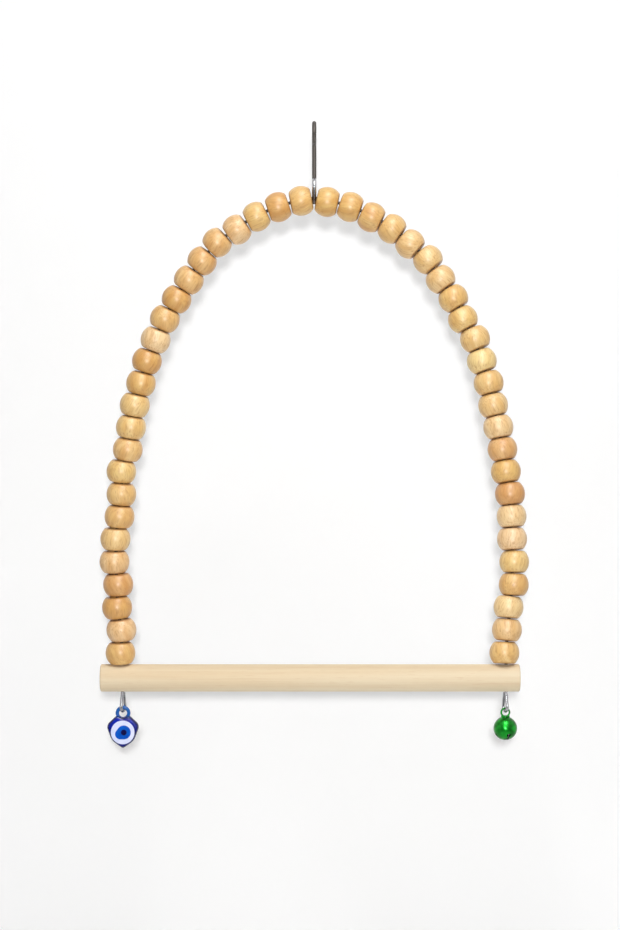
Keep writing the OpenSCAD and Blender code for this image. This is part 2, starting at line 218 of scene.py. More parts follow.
class Graph:
    """The node tree of one material or of the world."""

    def __init__(self, owner: Material | bpy.types.World) -> None:
        """Empty the owner's node tree.

        Args:
            owner: The material or world.
        """
        owner.use_nodes = True
        self.owner = owner
        self.tree = owner.node_tree
        self.tree.nodes.clear()

    @classmethod
    def material(cls, name: str) -> "Graph":
        """Make an empty material."""
        return cls(bpy.data.materials.new(name))

    def node(
        self,
        kind: str,
        settings: dict[str, Any] | None = None,
        sockets: dict[int | str, Any] | None = None,
    ) -> bpy.types.Node:
        """Add any node.

        Args:
            kind: The node's type.
            settings: Its properties; stops gives a ramp's positions and colours.
            sockets: Values, or Value links, by the socket's name or number.

        Returns:
            The new node.
        """
        node = self.tree.nodes.new(kind)
        for key, value in (settings or {}).items():
            if key == "stops":
                elements = node.color_ramp.elements
                while len(elements) < len(value):
                    elements.new(1.0)
                for element, (position, colour) in zip(elements, value):
                    element.position = position
                    element.color = opaque(colour)
            else:
                setattr(node, key, value)
        for key, value in (sockets or {}).items():
            if isinstance(value, Value):
                self.tree.links.new(value.socket, node.inputs[key])
            else:
                node.inputs[key].default_value = value
        return node

    def out(self, node: bpy.types.Node, key: int | str = 0) -> Value:
        """Wrap one output of a node."""
        return Value(self, node.outputs[key])

    def attribute(self, name: str, key: str) -> Value:
        """Read a mesh attribute as its Fac, Vector or Color."""
        return self.out(self.node("ShaderNodeAttribute", {"attribute_name": name}), key)

    def place(self) -> Value:
        """Read the place on the piece in metres."""
        return self.out(self.node("ShaderNodeTexCoord"), "Object")

    def height(self, place: Value) -> Value:
        """Read the height of a place."""
        return self.out(self.node("ShaderNodeSeparateXYZ", {}, {0: place}), "Z")

    def distance(self, place: Value, point: Triple) -> Value:
        """Measure how far a place is from a point."""
        node = self.node("ShaderNodeVectorMath", {"operation": "DISTANCE"}, {0: place, 1: point})
        return self.out(node, "Value")

    def noise(self, vector: Value, kind: Noise) -> Value:
        """Add smooth noise between 0 and 1.

        Args:
            vector: Coordinates.
            kind: The noise's settings.

        Returns:
            The noise.
        """
        mapped = self.out(self.node("ShaderNodeMapping", {}, {"Vector": vector, "Scale": kind.stretch}))
        sockets = {"Vector": mapped, "Scale": kind.scale, "Detail": kind.detail, "Roughness": kind.rough}
        return self.out(self.node("ShaderNodeTexNoise", {}, sockets))

    def ramp(self, factor: Value, stops: tuple[tuple[float, Colour], ...]) -> Value:
        """Turn a factor into a colour along a ramp of positions and colours."""
        return self.out(self.node("ShaderNodeValToRGB", {"stops": stops}, {"Fac": factor}))

    def mix(
        self,
        factor: Value | float,
        first: Value | Colour,
        second: Value | Colour,
        blend: Blend = Blend.MIX,
    ) -> Value:
        """Mix two colours.

        Args:
            factor: Share of the second colour.
            first: A colour or a link.
            second: A colour or a link.
            blend: How they are mixed.

        Returns:
            The mixed colour.
        """
        settings = {"data_type": "RGBA", "blend_type": blend.value}
        ends = [end if isinstance(end, Value) else opaque(end) for end in (first, second)]
        return self.out(self.node("ShaderNodeMix", settings, {0: factor, 6: ends[0], 7: ends[1]}), 2)

    def bump(self, height: Value, relief: Relief) -> Value:
        """Turn a height of 0 to 1 into a normal."""
        sockets = {"Height": height, "Strength": relief.strength, "Distance": relief.height}
        return self.out(self.node("ShaderNodeBump", {}, sockets))

    def end(self, shader: bpy.types.Node) -> Material:
        """Send a shader to the material's output."""
        self.node("ShaderNodeOutputMaterial", {}, {"Surface": self.out(shader)})
        return self.owner

    def finish(self, sockets: dict[str, Any]) -> Material:
        """End the tree in a Principled shader with the given values and links."""
        return self.end(self.node("ShaderNodeBsdfPrincipled", {}, sockets))

    def seen(self) -> Value:
        """Tell rays that show a surface from plain light.

        Returns:
            1 for rays of the camera, of gloss and through glass, and 0 for the others.
        """
        path = self.node("ShaderNodeLightPath")
        camera, glossy, through = (
            self.out(path, f"Is {kind} Ray") for kind in ("Camera", "Glossy", "Transmission")
        )
        return camera.or_more(glossy.or_more(through))


@dataclass(frozen=True)
class BeadWood:
    """Turned wood under a thin satin varnish; each bead's tone and grain are its attributes."""

    pale: Colour = paint(243, 213, 157)
    middle: Colour = paint(230, 188, 122)
    deep: Colour = paint(212, 157, 87)
    streak: Colour = paint(182, 122, 58)
    # Painted shade: colour that darkens each bead's ends, where neighbouring beads meet.
    rim: Colour = paint(152, 100, 50)
    yellow: Colour = (1.0, 1.01, 0.84)
    pink: Colour = (1.0, 0.95, 1.04)
    streaks: Noise = Noise((1.5, 1.5, 0.16), detail=5.0, rough=0.62)
    streak_span: Pair = (0.44, 0.78)
    streak_share: float = 0.72
    bands: Noise = Noise((0.32, 0.32, 0.03), rough=0.4)
    band_mean: float = 0.5
    band_gain: float = 1.2
    pores: Noise = Noise((5.0, 5.0, 0.7))
    pore_span: Pair = (0.62, 0.75)
    pore_share: float = 0.34
    pore_depth: float = 0.6
    end_shade_span: Pair = (0.86, 1.0)
    end_shade_share: float = 0.7
    rough: float = 0.4
    streak_rough: float = 0.16
    relief: Relief = Relief(0.3, 0.12 * MM)
    coat: float = 0.6
    coat_rough: float = 0.33

    def make(self) -> Material:
        """Build the material: streaks along the grain, growth bands, pores and painted shade that darkens
        the bead ends where beads meet.

        Returns:
            The material.
        """
        g = Graph.material("bead_wood")
        grain = g.attribute("grain", "Vector")
        streaks = g.noise(grain, self.streaks)
        bands = g.noise(grain, self.bands)
        pores = g.noise(grain, self.pores).rise(self.pore_span)
        mottled = g.attribute("tone", "Fac") + (bands - self.band_mean) * self.band_gain
        plain = g.ramp(mottled, ((0.0, self.pale), (0.5, self.middle), (1.0, self.deep)))
        tint = g.mix(g.attribute("hue", "Fac"), self.yellow, self.pink)
        base = g.mix(1.0, plain, tint, Blend.MULTIPLY)
        veined = g.mix(streaks.rise(self.streak_span) * self.streak_share, base, self.streak)
        pored = g.mix(pores * self.pore_share, veined, self.streak)
        # Painted shade: the colour darkens towards both ends of the bore, where the beads meet.
        edge = g.attribute("rim", "Fac").rise(self.end_shade_span)
        return g.finish({
            "Base Color": g.mix(edge * self.end_shade_share, pored, self.rim),
            "Roughness": self.rough + streaks * self.streak_rough,
            "Normal": g.bump(streaks - pores * self.pore_depth, self.relief),
            "Coat Weight": self.coat,
            "Coat Roughness": self.coat_rough,
        })


@dataclass(frozen=True)
class PerchWood:
    """Bare sanded pale wood with its grain along the perch."""

    pale: Colour = paint(231, 214, 183)
    warm: Colour = paint(221, 197, 160)
    vein: Colour = paint(199, 157, 110)
    bands: Noise = Noise((4.0, 190.0, 190.0), detail=3.0)
    band_span: Pair = (0.35, 0.7)
    fibres: Noise = Noise((22.0, 1500.0, 1500.0), detail=4.0, rough=0.6)
    fibre_span: Pair = (0.5, 0.82)
    fibre_share: float = 0.28
    pores: Noise = Noise((160.0, 3600.0, 3600.0), detail=1.0)
    pore_span: Pair = (0.64, 0.74)
    pore_share: float = 0.3
    pore_depth: float = 0.5
    rough: float = 0.58
    fibre_rough: float = 0.2
    relief: Relief = Relief(0.35, 0.12 * MM)

    def make(self) -> Material:
        """Build the material: long fibres, broad growth bands and short pores along X.

        Returns:
            The material.
        """
        g = Graph.material("perch_wood")
        place = g.place()
        fibres = g.noise(place, self.fibres)
        pores = g.noise(place, self.pores).rise(self.pore_span)
        base = g.mix(g.noise(place, self.bands).rise(self.band_span), self.pale, self.warm)
        veined = g.mix(fibres.rise(self.fibre_span) * self.fibre_share, base, self.vein)
        return g.finish({
            "Base Color": g.mix(pores * self.pore_share, veined, self.vein),
            "Roughness": self.rough + fibres * self.fibre_rough,
            "Normal": g.bump(fibres - pores * self.pore_depth, self.relief),
        })


@dataclass(frozen=True)
class Steel:
    """Bright steel with fine drawing marks; above a height its colour is painted dark as painted shade and
    painted dark reflection, and it turns rougher.
    """

    name: str
    painted_dark_above: float = 1.0
    painted_dark_blend: float = 8 * MM
    bright: Colour = paint(188, 188, 190)
    dull: Colour = paint(142, 142, 146)
    # Painted shade and painted dark reflection: the colour above the height.
    painted_dark: Colour = paint(84, 80, 76)
    clouds: Noise = Noise(scale=260.0, detail=3.0, rough=0.6)
    cloud_span: Pair = (0.3, 0.75)
    marks: Noise = Noise((3000.0, 3000.0, 250.0), detail=3.0, rough=0.6)
    rough: float = 0.1
    mark_rough: float = 0.14
    dull_rough: float = 0.35
    relief: Relief = Relief(0.12, 0.05 * MM)

    def make(self) -> Material:
        """Build the material: cloudy tone, streaks that roughen it, and above a height a painted dark
        colour (painted shade and painted dark reflection) that is also rougher.

        Returns:
            The material.
        """
        g = Graph.material(self.name)
        place = g.place()
        # Painted shade mask: 0 below the height, 1 above it.
        painted_dark_mask = g.height(place).rise((self.painted_dark_above, self.painted_dark_above + self.painted_dark_blend))
        marks = g.noise(place, self.marks)
        tone = g.mix(g.noise(place, self.clouds).rise(self.cloud_span), self.bright, self.dull)
        return g.finish({
            "Base Color": g.mix(painted_dark_mask, tone, self.painted_dark),
            "Metallic": 1.0,
            "Roughness": self.rough + marks * self.mark_rough + painted_dark_mask * self.dull_rough,
            "Normal": g.bump(marks, self.relief),
        })


@dataclass(frozen=True)
class Glass:
    """Coloured glass, fire polished, with faint swirls in its colour."""

    name: str
    light: Colour
    dark: Colour
    swirl: Noise = Noise(scale=210.0, detail=3.0, rough=0.55)
    swirl_span: Pair = (0.3, 0.7)
    dimples: Noise = Noise(scale=480.0)
    rough: float = 0.06
    dimple_rough: float = 0.06
    relief: Relief = Relief(0.12, 0.2 * MM)
    ior: float = 1.5

    def make(self) -> Material:
        """Build the material: two tones of the colour that swirl into each other.

        Returns:
            The material.
        """
        g = Graph.material(self.name)
        place = g.place()
        dimples = g.noise(place, self.dimples)
        return g.finish({
            "Base Color": g.mix(g.noise(place, self.swirl).rise(self.swirl_span), self.light, self.dark),
            "Roughness": self.rough + dimples * self.dimple_rough,
            "Normal": g.bump(dimples, self.relief),
            "IOR": self.ior,
        })


@dataclass(frozen=True)
class HeartGlass:
    """Clear cobalt glass with painted shade along its rounded edge, and greener in its thin eyelet."""

    light: Colour = paint(24, 52, 206)
    dark: Colour = paint(10, 18, 128)
    # Painted shade: the dark colour along the rounded edge.
    edge: Colour = paint(14, 10, 66)
    thin: Colour = paint(10, 104, 190)
    thin_span: Pair = (-260.9 * MM, -258.9 * MM)
    edge_shade_span: Pair = (0.0, 0.8)
    edge_shade_share: float = 0.92
    swirl: Noise = Noise(scale=260.0, detail=3.0, rough=0.55)
    swirl_span: Pair = (0.3, 0.7)
    dimples: Noise = Noise(scale=480.0)
    rough: float = 0.05
    dimple_rough: float = 0.06
    relief: Relief = Relief(0.12, 0.2 * MM)
    ior: float = 1.5
    clear: float = 0.3

    def make(self) -> Material:
        """Build the material: swirls of two blues, with painted shade where the edge attribute nears 1.

        Returns:
            The material.
        """
        g = Graph.material("charm_blue")
        place = g.place()
        dimples = g.noise(place, self.dimples)
        body = g.mix(g.noise(place, self.swirl).rise(self.swirl_span), self.light, self.dark)
        # Painted shade mask along the rounded edge.
        edge = g.attribute("edge", "Fac").rise(self.edge_shade_span)
        edge_shaded = g.mix(edge * self.edge_shade_share, body, self.edge)
        return g.finish({
            "Base Color": g.mix(g.height(place).rise(self.thin_span), edge_shaded, self.thin),
            "Roughness": self.rough + dimples * self.dimple_rough,
            "Normal": g.bump(dimples, self.relief),
            "IOR": self.ior,
            "Transmission Weight": self.clear,
        })


@dataclass(frozen=True)
class Lacquer:
    """Clear green lacquer over bright thin metal, with painted shade on the shell's inner face."""

    bright: Colour = paint(6, 158, 36)
    deep: Colour = paint(0, 92, 12)
    # Painted shade: the dark colour of the shell's inner face, seen through the slots.
    inside_shade: Colour = paint(0, 22, 4)
    centre: Triple = (84.1652 * MM, 0.7283 * MM, -265.3 * MM)
    inside_shade_span: Pair = (4.75 * MM, 5.1 * MM)
    pools: Noise = Noise(scale=330.0, detail=3.0, rough=0.55)
    pool_span: Pair = (0.3, 0.7)
    dents: Noise = Noise(scale=620.0)
    metal: float = 0.9
    rough: float = 0.24
    pool_rough: float = 0.12
    relief: Relief = Relief(0.2, 0.25 * MM)
    coat: float = 0.25
    coat_rough: float = 0.25

    def make(self) -> Material:
        """Build the material: uneven lacquer with small dents from pressing, and painted shade on the inner
        face.

        Returns:
            The material.
        """
        g = Graph.material("bell_green")
        place = g.place()
        pools = g.noise(place, self.pools)
        tone = g.mix(pools.rise(self.pool_span), self.bright, self.deep)
        # Painted shade mask: 0 on the inner face, 1 on the outer face.
        skin = g.distance(place, self.centre).rise(self.inside_shade_span)
        return g.finish({
            "Base Color": g.mix(skin, self.inside_shade, tone),
            "Metallic": self.metal,
            "Roughness": self.rough + pools * self.pool_rough,
            "Normal": g.bump(g.noise(place, self.dents), self.relief),
            "Coat Weight": self.coat,
            "Coat Roughness": self.coat_rough,
        })


@dataclass(frozen=True)
class Paper:
    """White paper of the floor and backdrop; its back lets the camera see through."""

    shade: Colour = (0.9, 0.9, 0.9)
    glow: float = 0.13

    def make(self) -> Material:
        """Build the material: matte white that keeps shadows and reads as white to the eye.

        Returns:
            The material.
        """
        g = Graph.material("paper")
        matte = g.node("ShaderNodeBsdfDiffuse", {}, {"Color": opaque(self.shade)})
        white = g.node("ShaderNodeEmission", {}, {"Strength": g.seen() * self.glow})
        front = g.node("ShaderNodeAddShader", {}, {0: g.out(matte), 1: g.out(white)})
        through = g.node("ShaderNodeBsdfTransparent")
        behind = g.out(g.node("ShaderNodeNewGeometry"), "Backfacing")
        return g.end(g.node("ShaderNodeMixShader", {}, {0: behind, 1: g.out(front), 2: g.out(through)}))


@dataclass(frozen=True)
class DarkCloth:
    """Dark cloth round the camera, which metal and varnish reflect."""

    level: float = 0.12

    def make(self) -> Material:
        """Build the material: one even dark grey."""
        g = Graph.material("dark_cloth")
        return g.end(g.node("ShaderNodeEmission", {}, {"Strength": self.level}))


@dataclass
class Surface:
    """Points of a grid and the quads between them."""

    points: np.ndarray
    quads: np.ndarray


def grid_surface(points: np.ndarray, close_rows: bool, close_columns: bool) -> Surface:
    """Join a grid of points into quads.

    Args:
        points: Array of rows by columns by 3.
        close_rows: Join the last row to the first.
        close_columns: Join the last column to the first.

    Returns:
        The surface.
    """
    rows, columns = points.shape[:2]
    i = np.arange(rows if close_rows else rows - 1)[:, None]
    j = np.arange(columns if close_columns else columns - 1)[None, :]
    i_next, j_next = (i + 1) % rows, (j + 1) % columns
    corners = [i * columns + j, i * columns + j_next, i_next * columns + j_next, i_next * columns + j]
    return Surface(points.reshape(-1, 3), np.stack(corners, axis=-1).reshape(-1, 4))


def revolved(profile: np.ndarray, centre: np.ndarray, axis: np.ndarray, parts: int) -> Surface:
    """Turn a closed profile round an axis.

    A point is centre + axis t + r (cos a u + sin a v), with r and t from the profile, and u and v
    square to the axis and to each other.

    Args:
        profile: Rows of r and t.
        centre: A point on the axis.
        axis: Unit vector along it.
        parts: Steps round the axis.

    Returns:
        The surface.
    """
    x, y, _ = np.eye(3)
    near = y if abs(axis[1]) < abs(axis).max() else x
    u = near - axis * (near @ axis)
    u /= np.linalg.norm(u)
    v = np.cross(axis, u)
    a = np.linspace(0, 2 * np.pi, parts, endpoint=False)[None, :, None]
    r, t = profile[:, 0, None, None], profile[:, 1, None, None]
    points = centre + axis * t + r * (np.cos(a) * u + np.sin(a) * v)
    return grid_surface(points, True, True)


def arc(centre: Pair, radius: float, start: float, end: float, parts: int) -> np.ndarray:
    """Points on an arc in a plane, from start to end in radians."""
    a = np.linspace(start, end, parts + 1)
    return np.stack([centre[0] + radius * np.cos(a), centre[1] + radius * np.sin(a)], axis=1)


@dataclass
class Piece:
    """A finished mesh piece and what it stands for."""

    name: str
    body: str
    slot: str
    node: str
    material: Material
    crease: float = 35.0
    extras: dict[str, np.ndarray] = field(default_factory=dict)

    def build(self, *surfaces: Surface) -> None:
        """Make the mesh, close its poles, shade it and hang it on its body.

        Args:
            surfaces: The surfaces that make up the piece.
        """
        starts = np.cumsum([0] + [len(s.points) for s in surfaces])
        points = np.concatenate([s.points for s in surfaces])
        quads = np.concatenate([s.quads + start for s, start in zip(surfaces, starts)])
        mesh = bpy.data.meshes.new(self.name)
        mesh.from_pydata(points.tolist(), [], quads.tolist())
        for key, values in self.extras.items():
            wide = values.ndim > 1
            layer = mesh.attributes.new(key, "FLOAT_VECTOR" if wide else "FLOAT", "POINT")
            layer.data.foreach_set("vector" if wide else "value", values.astype(np.float32).ravel())
        work = bmesh.new()
        work.from_mesh(mesh)
        bmesh.ops.remove_doubles(work, verts=work.verts, dist=WELD)
        bmesh.ops.recalc_face_normals(work, faces=work.faces)
        work.to_mesh(mesh)
        work.free()
        mesh.polygons.foreach_set("use_smooth", np.ones(len(mesh.polygons), dtype=bool))
        mesh.set_sharp_from_angle(angle=math.radians(self.crease))
        mesh.materials.append(self.material)
        made = bpy.data.objects.new(self.name, mesh)
        bpy.context.scene.collection.objects.link(made)
        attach(made, self.body)
        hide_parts(self.node)
        LOG.info("%s rides on %s, %d faces", self.name, self.body, len(mesh.polygons))


@dataclass(frozen=True)
class Bend:
    """One step of a wire's bending plan: length, turn and the roll before it, in degrees."""

    length: float
    turn: float = 0.0
    roll: float = 0.0


def round_bend(radius: float, turn: float, roll: float = 0.0) -> Bend:
    """A bend of a given radius, with its length worked out."""
    return Bend(radius * math.radians(abs(turn)), turn, roll)


@dataclass
class Wire:
    """A round wire bent step by step."""

    diameter: float
    place: np.ndarray
    forward: np.ndarray
    normal: np.ndarray
    axis: np.ndarray
    sides: int = 20
    chord: float = 0.004 * MM
    bevel_share: float = 0.18

    def path(self, bends: list[Bend]) -> tuple[np.ndarray, np.ndarray, np.ndarray]:
        """Follow the plan.

        After a length l that turns by t, a point has gone l sin(t) / t forward and l (1 - cos(t)) / t
        against the normal. The ring axes are the bend's axis and normal, turned back by the rolls so far.

        Args:
            bends: The plan.

        Returns:
            Places and two ring axes, one row for each ring.
        """
        place, forward, normal, axis, rolled = self.place, self.forward, self.normal, self.axis, 0.0
        places, firsts, seconds = [], [], []
        for bend in [*bends, Bend(0.0)]:
            roll = math.radians(bend.roll)
            rolled += roll
            normal, axis = (
                normal * math.cos(roll) - axis * math.sin(roll),
                axis * math.cos(roll) + normal * math.sin(roll),
            )
            turn = math.radians(bend.turn)
            step = 2 * math.acos(1 - self.chord * abs(turn) / bend.length) if turn else 1.0
            parts = max(1, math.ceil(abs(turn) / step))
            k = np.arange(parts + 1)[:, None] / parts
            t, l = turn * k, bend.length * k
            ahead = l * np.sinc(t / np.pi)
            aside = -l * np.sinc(t / 2 / np.pi) * np.sin(t / 2)
            track = place + ahead * forward + aside * normal
            fronts = forward * np.cos(t) - normal * np.sin(t)
            normals = normal * np.cos(t) + forward * np.sin(t)
            places.append(track[:-1])
            firsts.append((axis * math.cos(rolled) - normals * math.sin(rolled))[:-1])
            seconds.append((axis * math.sin(rolled) + normals * math.cos(rolled))[:-1])
            place, forward, normal = track[-1], fronts[-1], normals[-1]
        return np.concatenate(places), np.concatenate(firsts), np.concatenate(seconds)

    def swept(self, places: np.ndarray, firsts: np.ndarray, seconds: np.ndarray) -> Surface:
        """Carry a circle along the path and close both ends with a small bevel.

        A point is place + r (cos a first + sin a second); at both ends r falls to 0 on the end's plane.

        Args:
            places: Middle of each ring.
            firsts: First axis of each ring.
            seconds: Second axis of each ring.

        Returns:
            The wire's skin.
        """
        radius = self.diameter / 2
        bevel = self.bevel_share * radius
        ends = np.array([0, 0, 0]), np.full(3, len(places) - 1)
        order = np.concatenate([ends[0], np.arange(1, len(places) - 1), ends[1]])
        r = np.full(len(order), radius)
        r[[0, 1, -2, -1]] = 0.0, radius - bevel, radius - bevel, 0.0
        middle = places[order].copy()
        ahead = np.cross(firsts[[0, -1]], seconds[[0, -1]])
        middle[2] += ahead[0] * bevel
        middle[-3] -= ahead[1] * bevel
        a = np.linspace(0, 2 * np.pi, self.sides, endpoint=False)[None, :, None]
        circle = np.cos(a) * firsts[order][:, None] + np.sin(a) * seconds[order][:, None]
        return grid_surface(middle[:, None] + r[:, None, None] * circle, False, True)


@dataclass
class BeadString:
    """Loose turned beads; each keeps the place, axis and size of its solid."""

    wood: BeadWood = BeadWood()
    half_length: float = 4.8 * MM
    rim_radius: float = 1.6 * MM
    bore_radius: float = 2.1 * MM
    mouth_radius: float = 2.85 * MM
    trim: float = 0.002 * MM
    parts: int = 56
    barrel_parts: int = 10
    rim_parts: int = 8
    seed: int = 7
    grain_tilt: float = 26.0
    grain_shift: float = 90.0
    pale_beads: tuple[int, ...] = (15, 35, 38, 42, 43, 46)
    pale_tone: float = 0.05
    deep_beads: tuple[int, ...] = (3, 4, 14, 17, 23, 41)
    deep_tone: float = 0.92
    plain_tone: float = 0.22
    tone_spread: float = 0.5

    def profile(self, radius: float) -> np.ndarray:
        """Outline of half a bead, all the way round.

        The barrel is an arc about the bead's centre. A rim arc touches it from inside and runs into the
        flat end. The end's mouth slopes at 45 degrees into the bore.

        Args:
            radius: The bead's radius.

        Returns:
            Rows of distance from the bore's axis and length along it.
        """
        rim_z = self.half_length - self.rim_radius
        rim_r = math.sqrt((radius - self.rim_radius) ** 2 - rim_z**2)
        lean = math.atan2(rim_z, rim_r)
        barrel = arc((0.0, 0.0), radius, 0.0, lean, self.barrel_parts)
        rim = arc((rim_r, rim_z), self.rim_radius, lean, math.pi / 2, self.rim_parts)[1:]
        bore_end = self.half_length - (self.mouth_radius - self.bore_radius)
        mouth = np.array([[self.mouth_radius, self.half_length], [self.bore_radius, bore_end]])
        upper = np.concatenate([barrel, rim, mouth])
        return np.concatenate([upper, upper[:0:-1] * [1.0, -1.0]])

    def tone(self, number: int, chance: float) -> float:
        """Choose a bead's tone.

        Args:
            number: The bead's number.
            chance: A chance from 0 to 1.

        Returns:
            The tone, from 0 for pale to 1 for deep.
        """
        if number in self.pale_beads:
            return self.pale_tone
        if number in self.deep_beads:
            return self.deep_tone
        return self.plain_tone + self.tone_spread * chance

    def grain(self, offsets: np.ndarray, axis: np.ndarray, rng: np.random.Generator) -> np.ndarray:
        """Lay a bead's grain nearly along its bore, at its own place in the timber.

        Coordinates are the offsets in millimetres, turned so that the third runs along the tilted bore
        axis, and shifted by chance.

        Args:
            offsets: Points from the bead's centre.
            axis: The bore's axis.
            rng: Source of tilt and shift.

        Returns:
            Grain coordinates, one row for each point.
        """
        front = np.array([0.0, 1.0, 0.0])
        tilt = math.radians(self.grain_tilt) * rng.uniform(-1, 1, 2)
        along = axis + tilt[0] * front + tilt[1] * np.cross(axis, front)
        along /= np.linalg.norm(along)
        across = np.cross(along, front)
        across /= np.linalg.norm(across)
        basis = np.stack([across, np.cross(along, across), along], axis=1)
        return offsets / MM @ basis + rng.uniform(-self.grain_shift, self.grain_shift, 3)

    def build(self, frame: dict[str, Any]) -> None:
        """Build every bead round its own hinge.

        Args:
            frame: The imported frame.
        """
        material = self.wood.make()
        rng = np.random.default_rng(self.seed)
        hues = np.random.default_rng(self.seed + 1)
        for joint in frame["joints"]:
            if not joint["name"].startswith("spin_"):
                continue
            node = joint["child"]
            low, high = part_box(node)
            centre, axis = np.array(joint["pos_m"]), np.array(joint["axis"], dtype=float)
            profile = self.profile((high[1] - low[1]) / 2 - self.trim)
            skin = revolved(profile, centre, axis, self.parts)
            grain = self.grain(skin.points - centre, axis, rng)
            count = len(skin.points)
            extras = {
                "grain": grain,
                "tone": np.full(count, self.tone(int(node[-2:]), rng.random())),
                "hue": np.full(count, hues.random()),
                # Share of the bead's half length along the bore; it places the painted shade at the bead
                # ends.
                "rim": np.repeat(np.abs(profile[:, 1]) / self.half_length, self.parts),
            }
            Piece(f"turned_{node}", node, "bead_wood", node, material, extras=extras).build(skin)


@dataclass
class ArchWire:
    """The stiff wire under the beads, with a pear loop below each end of the perch."""

    beads: BeadString
    # Painted shade: the wire is painted dark above the loops, along its length through the beads.
    steel: Steel = Steel("wire_steel", painted_dark_above=-250 * MM)
    diameter: float = 1.4 * MM
    peak_height: float = -31.9688 * MM
    peak_turn: float = 8.0
    runs: tuple[tuple[int, float], ...] = ((6, 46.0), (6, 23.0), (6, 9.0), (4, 11.0), (2, -7.0))
    bead_gap: float = 0.1 * MM
    bead_tip: float = 0.5
    bead_radius: float = 6.7 * MM
    bead_play: float = 0.85 * MM
    hook_room: float = 2.3 * MM
    perch_diameter: float = 12.0 * MM
    loop_drop: float = 9.4 * MM
    loop_inside: float = 1.3 * MM
    loop_bend: float = 1.5 * MM
    loop_neck: float = 0.4 * MM
    loop_end_gap: float = 0.15 * MM
    loop_twist: float = 20.0

    def pitch(self, angle: float) -> float:
        """Space two beads so that their end faces stay clear.

        Args:
            angle: Degrees at which their axes meet.

        Returns:
            The length of wire from one centre to the next.
        """
        rim = self.beads.half_length - self.beads.rim_radius
        face = math.sqrt((self.bead_radius - self.beads.rim_radius) ** 2 - rim**2)
        spread = math.tan(math.radians(abs(angle) / 2 + self.bead_tip))
        return 2 * self.beads.half_length + self.bead_gap + 2 * (face + self.bead_play) * spread

    def arch_bends(self) -> list[Bend]:
        """Plan one side from the peak down to the perch.

        Returns:
            Its bends.
        """
        first = self.runs[0][1] / self.runs[0][0]
        least = 2 * self.beads.half_length + self.hook_room
        gap = max(self.pitch(2 * self.peak_turn + first), least)
        peak = Bend((gap - self.pitch(first)) / 2, self.peak_turn)
        return [peak] + [Bend(count * self.pitch(turn / count), turn) for count, turn in self.runs]

    def loop_bends(self) -> list[Bend]:
        """Plan the loop below the perch: out, round the bottom and back beside the first strand.

        Returns:
            Its bends.
        """
        radius = self.loop_inside + self.diameter / 2
        half = (self.diameter + self.loop_end_gap) / 2
        depth = self.loop_drop - self.diameter / 2 - radius - self.loop_neck
        far = math.hypot(half + self.loop_bend, depth)
        open_angle = math.asin((radius + self.loop_bend) / far) - math.atan2(half + self.loop_bend, depth)
        spread = math.degrees(open_angle)
        side = Bend(math.sqrt(far**2 - (radius + self.loop_bend) ** 2))
        return [
            Bend(self.perch_diameter + self.loop_neck),
            round_bend(self.loop_bend, spread, -90.0 - self.loop_twist),
            side,
            round_bend(radius, -180.0 - 2 * spread),
            side,
            round_bend(self.loop_bend, spread),
        ]

    def build(self) -> None:
        """Sweep the right side, mirror it for the left and join both at the peak."""
        x, y, z = np.eye(3)
        wire = Wire(self.diameter, z * self.peak_height, x, z, y)
        right = wire.path(self.arch_bends() + self.loop_bends())
        whole = [np.concatenate([part[:0:-1] * [-1.0, 1.0, 1.0], part]) for part in right]
        piece = Piece("bent_arch_wire", "swing", "wire_steel", "arch_wire", self.steel.make())
        piece.build(wire.swept(*whole))


@dataclass
class HangingHook:
    """The hook, bent from one wire: pear eye round the arch wire, shank and round hook."""

    arch: ArchWire
    # Painted dark reflection: the shank and hook above the eye are painted dark, and the eye stays bright.
    steel: Steel = Steel("hook_steel", painted_dark_above=-23.8 * MM, painted_dark_blend=0.4 * MM)
    diameter: float = 1.9 * MM
    clearance: float = 0.2 * MM
    eye_radius: float = 3.0 * MM
    eye_height: float = 5.0 * MM
    eye_bend: float = 1.6 * MM
    eye_end_gap: float = 0.15 * MM
    shank: float = 12.0 * MM
    hook_inside: float = 4.0 * MM
    hook_bend: float = 2.0 * MM
    hook_wrap: float = 255.0

    def build(self) -> None:
        """Sweep the wire from the eye's free end to the tip of the hook."""
        seat = self.arch.diameter / 2 + self.clearance + self.diameter / 2
        taper = math.degrees(math.asin((self.eye_radius - seat) / self.eye_height))
        side = Bend(math.sqrt(self.eye_height**2 - (self.eye_radius - seat) ** 2))
        rise = math.sqrt(self.eye_radius**2 + 2 * self.eye_bend * self.eye_radius)
        lean = math.degrees(math.atan2(rise, self.eye_bend))
        start = math.asin((self.diameter + self.eye_end_gap) / self.eye_radius)
        hook = self.hook_inside + self.diameter / 2
        hook_rise = math.sqrt(hook**2 + 2 * self.hook_bend * hook)
        hook_lean = math.degrees(math.atan2(hook_rise, self.hook_bend))
        out = np.array([0.0, math.sin(start), math.cos(start)])
        ahead = np.array([0.0, math.cos(start), -math.sin(start)])
        middle = np.array([0.0, 0.0, self.arch.peak_height + self.eye_height])
        left = np.array([-1.0, 0.0, 0.0])
        wire = Wire(self.diameter, middle + self.eye_radius * out, ahead, out, left)
        bends = [
            round_bend(self.eye_radius, 90.0 + taper - math.degrees(start)),
            side,
            round_bend(seat, 180.0 - 2 * taper),
            side,
            round_bend(self.eye_radius, taper + lean),
            round_bend(self.eye_bend, -lean),
            Bend(self.shank),
            round_bend(self.hook_bend, hook_lean),
            round_bend(hook, -self.hook_wrap),
        ]
        piece = Piece("bent_hook", "hook", "wire_steel", "hanging_hook", self.steel.make())
        piece.build(wire.swept(*wire.path(bends)))


